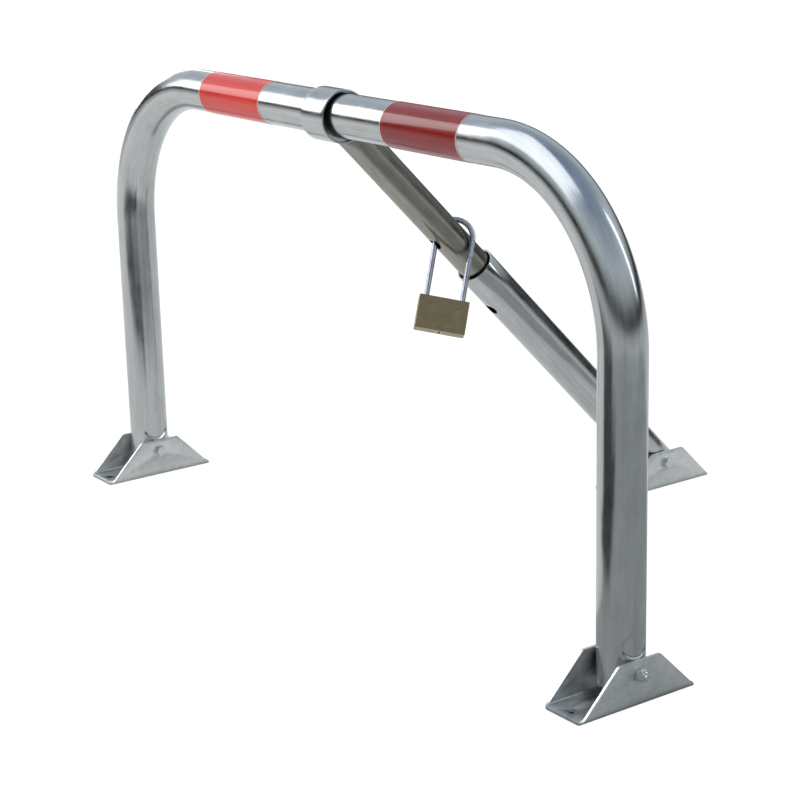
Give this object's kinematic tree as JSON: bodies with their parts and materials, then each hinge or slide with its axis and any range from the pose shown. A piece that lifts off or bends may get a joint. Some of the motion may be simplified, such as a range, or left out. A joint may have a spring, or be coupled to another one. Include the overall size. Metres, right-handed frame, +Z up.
{
  "type": "folding parking lock",
  "caption": "Fold-down hoop barrier for a parking space: bent tube on pivoting floor brackets, held up by a telescoping strut that a padlock fixes.",
  "frame": {"origin": "on the ground, in the middle of the footprint, halfway between the front pivots' line and the rear pivot", "axes": "+X along the hoop's bar, towards the right leg as seen from the front; +Y to the rear, towards the strut's foot; +Z up"},
  "size_m": [0.8738, 0.54, 0.4764],
  "materials": {
    "hoop_finish": "bright, polished plating",
    "strut_finish": "bright zinc over drawn tube",
    "sleeve_finish": "bright zinc over a plain sleeve",
    "weld_metal": "plated weld bead",
    "bracket_finish": "satin zinc on pressed plate",
    "bolt_finish": "bright zinc",
    "red_reflector": "retroreflective film",
    "padlock_brass": "brushed, dulled",
    "plug_brass": "turned",
    "pin_brass": "turned",
    "shackle_steel": "ground, plated",
    "latch_steel": "machined",
    "spring_steel": "drawn wire"
  },
  "bodies": {
    "ground_brackets": {"left_bracket": "bracket_finish", "left_pivot_bolt": "bolt_finish", "left_washer": "bolt_finish", "left_lock_nut": "bolt_finish", "right_bracket": "bracket_finish", "right_pivot_bolt": "bolt_finish", "right_washer": "bolt_finish", "right_lock_nut": "bolt_finish", "rear_bracket": "bracket_finish", "rear_pivot_bolt": "bolt_finish", "rear_washer": "bolt_finish", "rear_lock_nut": "bolt_finish"},
    "hoop": {"hoop_tube": "hoop_finish", "left_reflective_band": "red_reflector", "right_reflective_band": "red_reflector"},
    "upper_strut": {"strut_collar": "sleeve_finish", "collar_weld": "weld_metal", "upper_strut_tube": "strut_finish"},
    "lower_strut": {"lower_strut_tube": "strut_finish"},
    "shackle": {"shackle": "shackle_steel"},
    "padlock_case": {"padlock_body": "padlock_brass", "driver_pins": "pin_brass", "pin_springs": "spring_steel", "chamber_plugs": "padlock_brass", "heel_retaining_pin": "plug_brass", "latch_spring": "spring_steel"},
    "key_cylinder": {"key_plug": "plug_brass", "plug_clip": "spring_steel", "key_pins": "pin_brass"},
    "latch": {"latch": "latch_steel"}
  },
  "joints": [
    {"name": "hoop_fold", "type": "hinge", "parent": "ground_brackets", "child": "hoop", "pos_m": [0, -0.205, 0.029], "axis": [1, 0, 0], "range_deg": [0, 90]},
    {"name": "strut_foot", "type": "hinge", "parent": "ground_brackets", "child": "lower_strut", "pos_m": [0, 0.205, 0.029], "axis": [1, 0, 0], "range_deg": [0, 46]},
    {"name": "collar_turn", "type": "hinge", "parent": "hoop", "child": "upper_strut", "pos_m": [0, -0.205, 0.452], "axis": [1, 0, 0], "range_deg": [-45, 0]},
    {"name": "padlock_swing", "type": "hinge", "parent": "upper_strut", "child": "shackle", "pos_m": [0, -0.07903, 0.32203], "axis": [0, 0.7181, 0.696], "range_deg": [-100, 0]},
    {"name": "shackle_release", "type": "slide", "parent": "shackle", "child": "padlock_case", "axis": [0.2717, -0.4255, -0.8632], "range_m": [0, 0.008]},
    {"name": "key_turn", "type": "hinge", "parent": "padlock_case", "child": "key_cylinder", "pos_m": [0.03439, -0.11344, 0.2316], "axis": [0.2717, -0.4255, -0.8632], "range_deg": [0, 90]},
    {"name": "latch_retract", "type": "slide", "parent": "padlock_case", "child": "latch", "axis": [0.5826, 0.7867, -0.2044], "range_m": [0, 0.0022]}
  ],
  "couplings": [
    {"joint": "strut_foot", "follows": "hoop_fold", "ratio": 0.50993},
    {"joint": "collar_turn", "follows": "hoop_fold", "ratio": -0.49007},
    {"joint": "key_turn", "follows": "shackle_release", "rad_per_m": 196.35},
    {"joint": "latch_retract", "follows": "shackle_release", "ratio": 0.27499}
  ]
}
